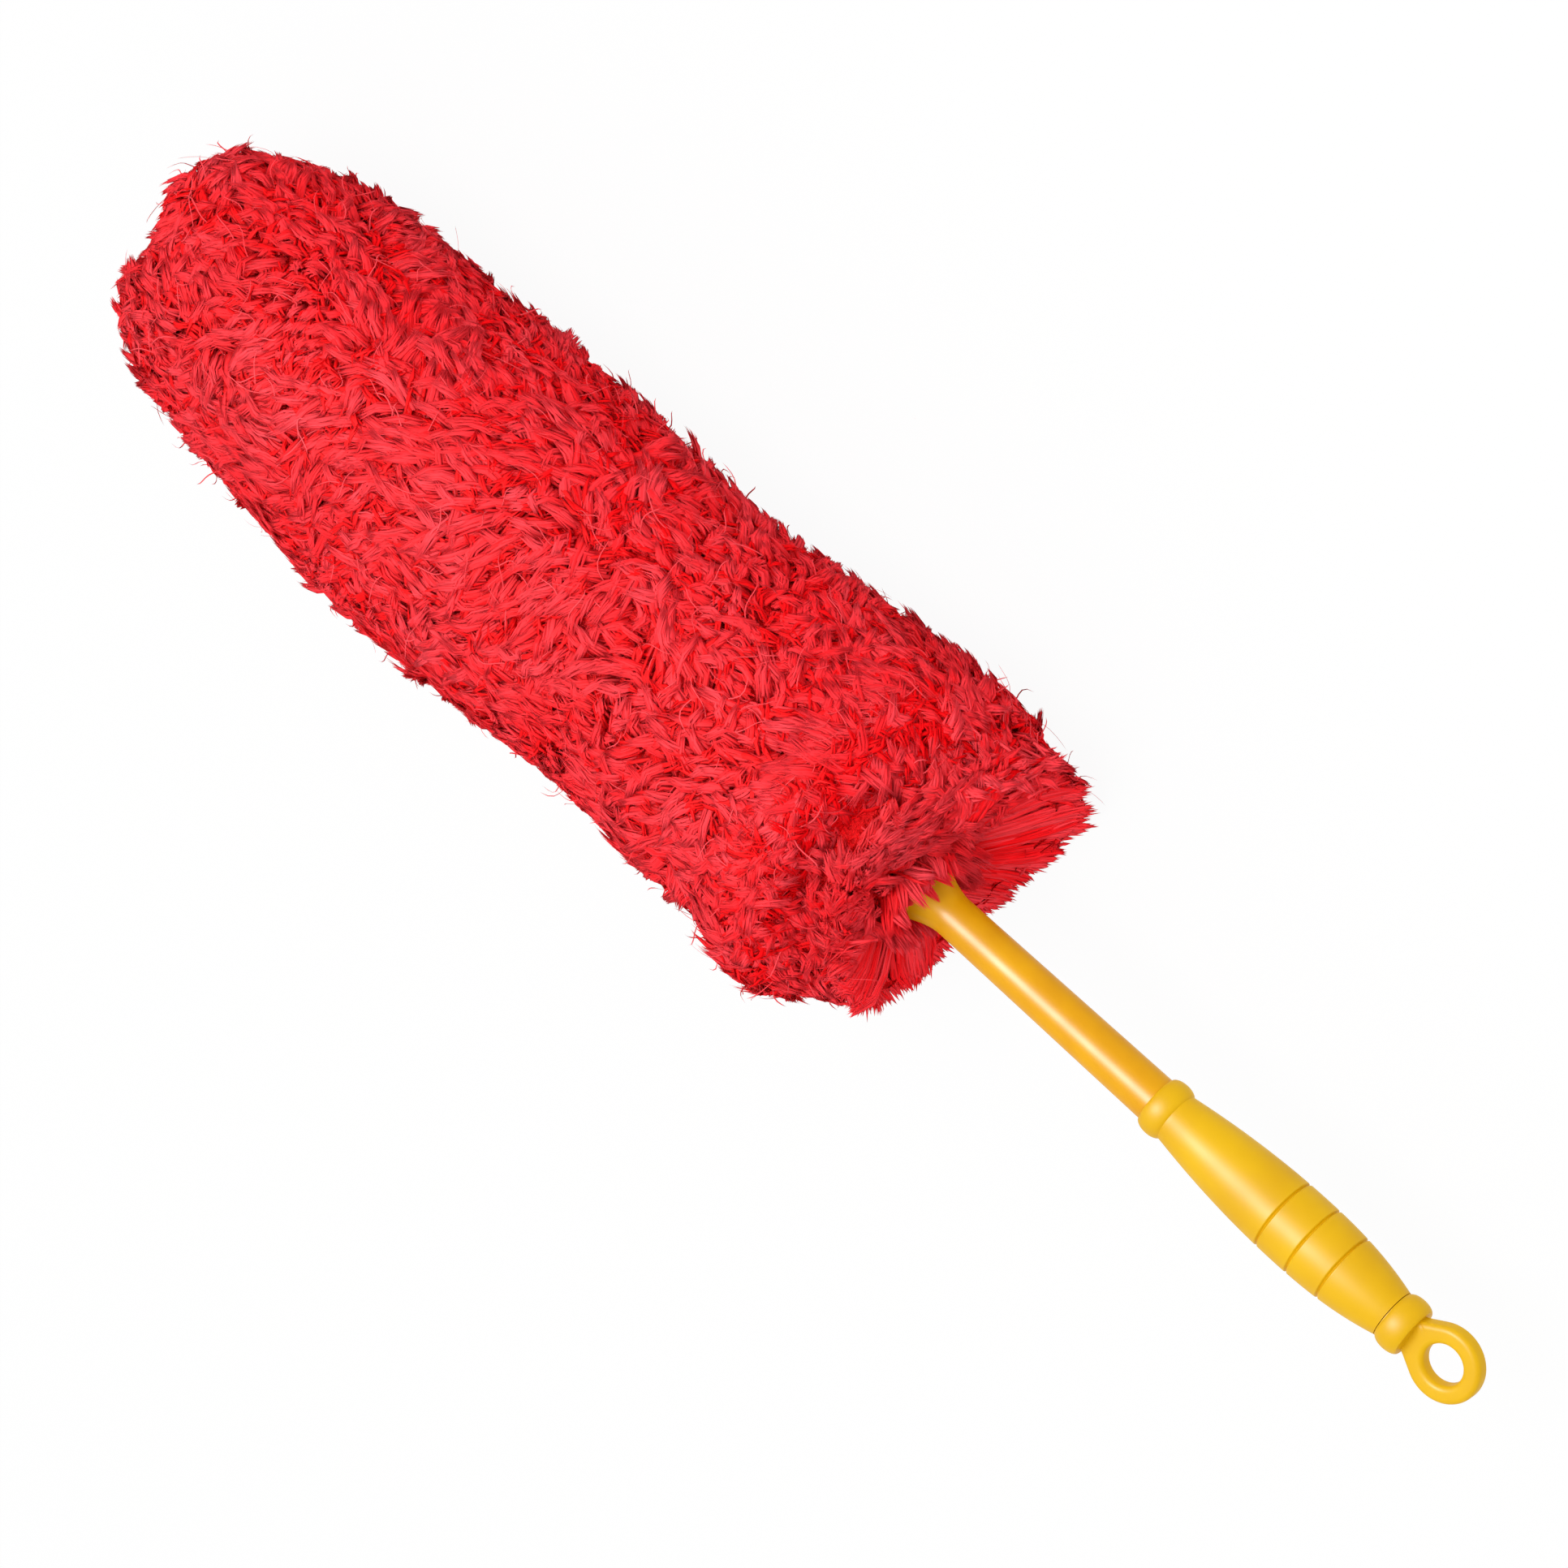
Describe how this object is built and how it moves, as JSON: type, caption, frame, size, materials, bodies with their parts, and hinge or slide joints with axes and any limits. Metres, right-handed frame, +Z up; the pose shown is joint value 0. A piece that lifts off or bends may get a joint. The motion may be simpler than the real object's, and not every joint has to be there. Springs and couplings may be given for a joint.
{
  "type": "microfiber duster",
  "caption": "Hand duster with a long fluffy microfibre head on a twisted wire, a flared tube shaft, a barrel-shaped grip and a flat hanging eye.",
  "frame": {"origin": "on the surface that the duster lies on, under the middle of its box", "axes": "+X along the duster's axis from the hanging eye to the tip of the head, +Z up and along the hanging eye's hole, +Y across"},
  "size_m": [0.646, 0.1392, 0.1284],
  "materials": {
    "shaft_plastic": "glossy orange-yellow",
    "grip_plastic": "satin yellow",
    "inner_plastic": "natural, hidden",
    "wire_steel": "galvanised",
    "pile": "long red microfibre pile"
  },
  "bodies": {
    "root": {"shaft_tube": "shaft_plastic", "grip_sleeve": "grip_plastic", "end_plug": "grip_plastic", "neck_bush": "inner_plastic", "anchor_plug": "inner_plastic", "tip_cap": "inner_plastic", "core_wire": "wire_steel", "pile_slice_01": "pile", "pile_slice_02": "pile", "pile_slice_03": "pile", "pile_slice_04": "pile", "pile_slice_05": "pile", "pile_slice_06": "pile", "pile_slice_07": "pile", "pile_slice_08": "pile", "pile_slice_09": "pile", "pile_slice_10": "pile", "pile_slice_11": "pile", "pile_slice_12": "pile", "pile_slice_13": "pile", "pile_slice_14": "pile", "pile_slice_15": "pile", "pile_slice_16": "pile", "pile_slice_17": "pile"}
  },
  "joints": []
}
